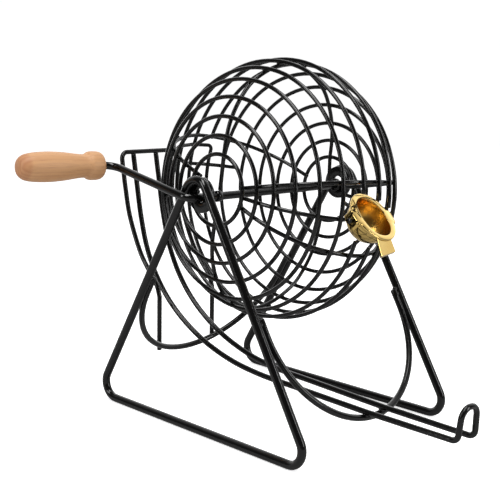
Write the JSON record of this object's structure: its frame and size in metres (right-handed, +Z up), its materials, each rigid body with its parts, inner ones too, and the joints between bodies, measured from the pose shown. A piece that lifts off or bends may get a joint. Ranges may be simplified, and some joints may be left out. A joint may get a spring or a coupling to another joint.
{
  "type": "ball drawing cage",
  "caption": "Round wire cage on an axle between two A-shaped wire stands, with a crank and wooden handle, a brass ball catch and rails for drawn balls.",
  "frame": {"origin": "middle of the underside of the foot bar nearest the crank", "axes": "+X along the axle away from the crank, +Z up, -Y towards the front, where the ball rails end"},
  "size_m": [0.2589, 0.3402, 0.2757],
  "materials": {
    "black_enamel": "gloss black enamel on steel wire",
    "brass_plate": "polished brass",
    "turned_wood": "turned, clear varnish"
  },
  "bodies": {
    "stand": {"near_frame": "black_enamel", "far_frame": "black_enamel", "front_brace": "black_enamel", "back_brace": "black_enamel", "back_guard": "black_enamel", "ball_rails": "black_enamel", "near_bearing_disc": "black_enamel", "far_bearing_disc": "black_enamel"},
    "cage": {"axle_and_crank": "black_enamel", "cage_rib_1": "black_enamel", "cage_rib_2": "black_enamel", "cage_rib_3": "black_enamel", "cage_rib_4": "black_enamel", "cage_rib_5": "black_enamel", "cage_ring_01": "black_enamel", "cage_ring_02": "black_enamel", "cage_ring_03": "black_enamel", "cage_ring_04": "black_enamel", "cage_ring_05": "black_enamel", "cage_ring_06": "black_enamel", "cage_ring_07": "black_enamel", "cage_ring_08": "black_enamel", "cage_ring_09": "black_enamel", "cage_ring_09_low": "black_enamel", "cage_ring_10": "black_enamel", "cage_ring_11": "black_enamel", "cage_ring_12": "black_enamel", "cage_ring_13": "black_enamel", "cage_ring_14": "black_enamel", "cage_ring_15": "black_enamel", "cage_spoke_rib": "black_enamel", "catch_far_pin": "black_enamel", "catch_far_rib": "black_enamel", "catch_near_pin": "black_enamel", "catch_near_rib": "black_enamel", "far_stop_collar": "black_enamel", "gate_frame": "black_enamel", "gate_stop_wire": "black_enamel", "near_hub_sleeve": "black_enamel"},
    "cup": {"catch_cup": "brass_plate", "catch_near_ear": "brass_plate", "catch_far_ear": "brass_plate", "catch_tab": "brass_plate"},
    "handle": {"handle": "turned_wood"}
  },
  "joints": [
    {"name": "cage_turn", "type": "hinge", "parent": "stand", "child": "cage", "pos_m": [0.0809, 0, 0.17474], "axis": [1, 0, 0], "continuous": true},
    {"name": "handle_spin", "type": "hinge", "parent": "cage", "child": "handle", "pos_m": [-0.0073, 0.08728, 0.19218], "axis": [-0.9951, 0.0974, 0.0195], "continuous": true},
    {"name": "catch_tip", "type": "hinge", "parent": "cage", "child": "cup", "pos_m": [0.08253, -0.09226, 0.16244], "axis": [0.9976, 0.0319, -0.0614], "range_deg": [-78, 0]}
  ]
}
